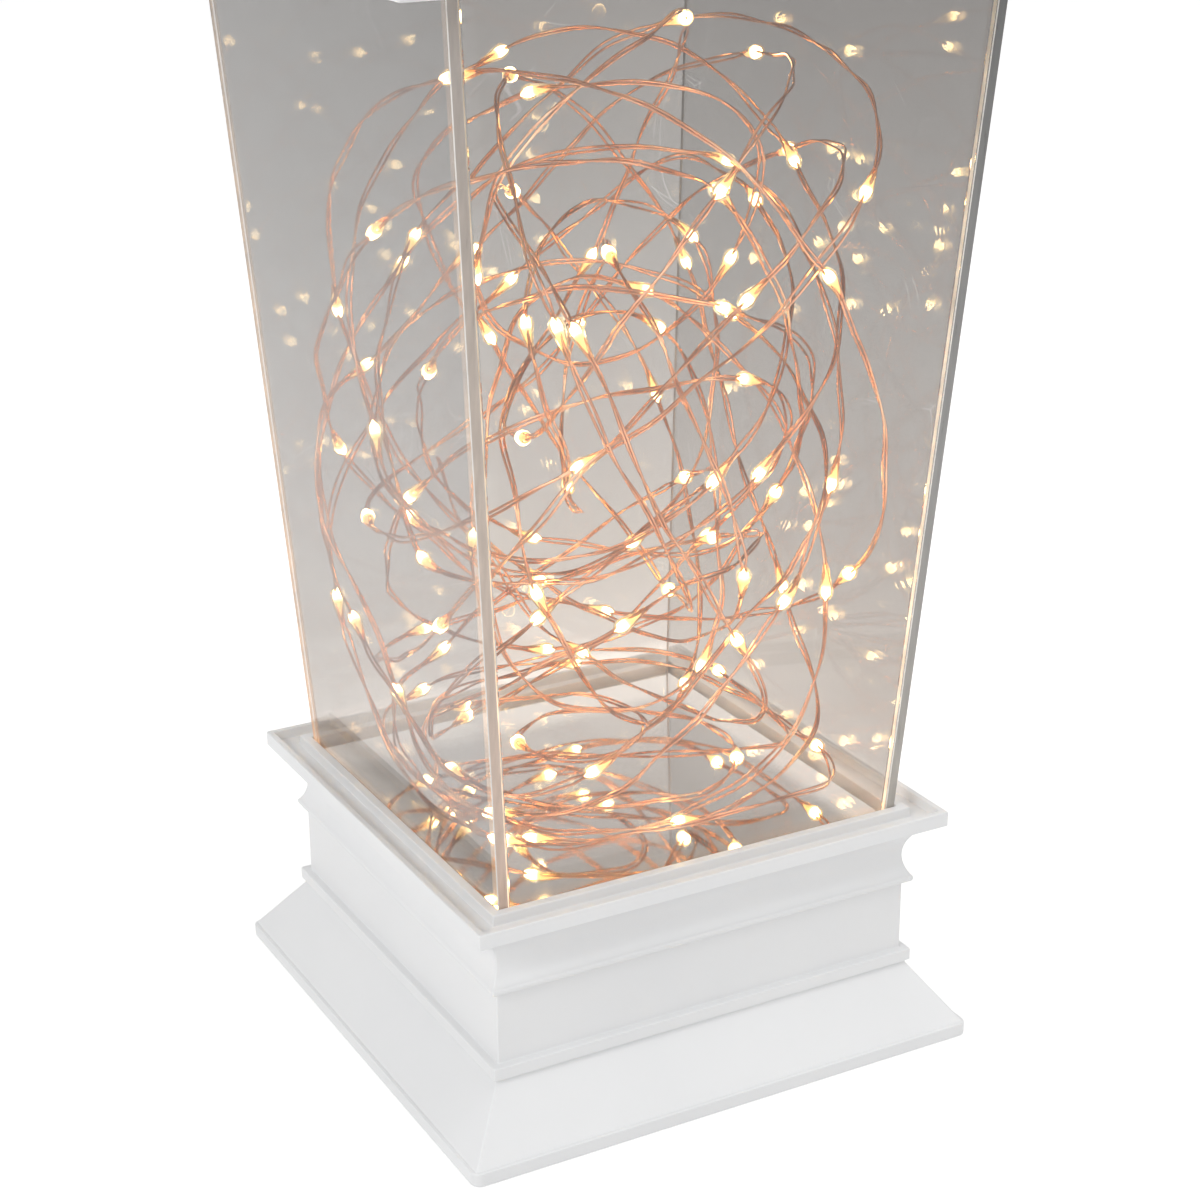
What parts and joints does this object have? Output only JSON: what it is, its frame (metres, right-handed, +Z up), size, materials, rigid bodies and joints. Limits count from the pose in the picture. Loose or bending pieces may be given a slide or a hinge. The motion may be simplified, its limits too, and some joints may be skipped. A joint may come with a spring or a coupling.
{
  "type": "tapered lantern",
  "caption": "Square battery lantern with a moulded plinth, clear panels that widen upwards, a nest of copper wire lights on a mirror floor, a hipped roof and a carrying ring.",
  "frame": {"origin": "middle of the plinth's underside, on the surface that the lantern stands on", "axes": "+Z up, -Y towards the front panel, +X to the right of someone facing the front"},
  "size_m": [0.184, 0.184, 0.3984],
  "materials": {
    "white_moulding": "satin white moulded plastic",
    "clear_sheet": "clear polished acrylic sheet",
    "mirror_sheet": "mirror acrylic",
    "copper_wire": "lacquered copper wire",
    "led_droplet": "clear resin droplet over a warm white diode",
    "nickel": "nickel plate",
    "painted_steel": "white powder coat",
    "black_moulding": "black moulded plastic",
    "cell_jacket": "plain printed cell jacket",
    "board_laminate": "green circuit laminate",
    "red_insulation": "red wire insulation",
    "black_insulation": "black wire insulation"
  },
  "bodies": {
    "lantern": {"base_plinth": "white_moulding", "bottom_cover": "white_moulding", "cover_screw_1": "nickel", "cover_screw_2": "nickel", "cover_screw_3": "nickel", "cover_screw_4": "nickel", "battery_holder": "black_moulding", "battery_cell_1": "cell_jacket", "battery_cell_2": "cell_jacket", "battery_cell_3": "cell_jacket", "negative_contact": "nickel", "front_bridge_contact": "nickel", "rear_bridge_contact": "nickel", "positive_contact": "nickel", "switch_housing": "black_moulding", "timer_board": "board_laminate", "negative_lead": "black_insulation", "positive_lead": "red_insulation", "mirror_floor": "mirror_sheet", "panel_front": "clear_sheet", "panel_right": "clear_sheet", "panel_back": "clear_sheet", "panel_left": "clear_sheet", "light_string": "copper_wire", "top_frame": "white_moulding", "roof_screw_1": "nickel", "roof_screw_2": "nickel", "roof_screw_3": "nickel", "roof_screw_4": "nickel", "roof": "white_moulding", "vent_cap": "white_moulding", "ring_lug": "painted_steel", "lug_nut": "nickel"},
    "ring": {"carry_ring": "painted_steel"},
    "door": {"battery_door": "white_moulding"},
    "knob": {"switch_knob": "black_moulding"}
  },
  "joints": [
    {"name": "ring_swing", "type": "hinge", "parent": "lantern", "child": "ring", "pos_m": [0, 0, 0.3922], "axis": [1, 0, 0], "range_deg": [0, 241]},
    {"name": "battery_door_hinge", "type": "hinge", "parent": "lantern", "child": "door", "pos_m": [0, 0.02635, 0.0039], "axis": [1, 0, 0], "range_deg": [0, 90]},
    {"name": "switch_slide", "type": "slide", "parent": "lantern", "child": "knob", "axis": [0, 1, 0], "range_m": [-0.002, 0.002]}
  ]
}
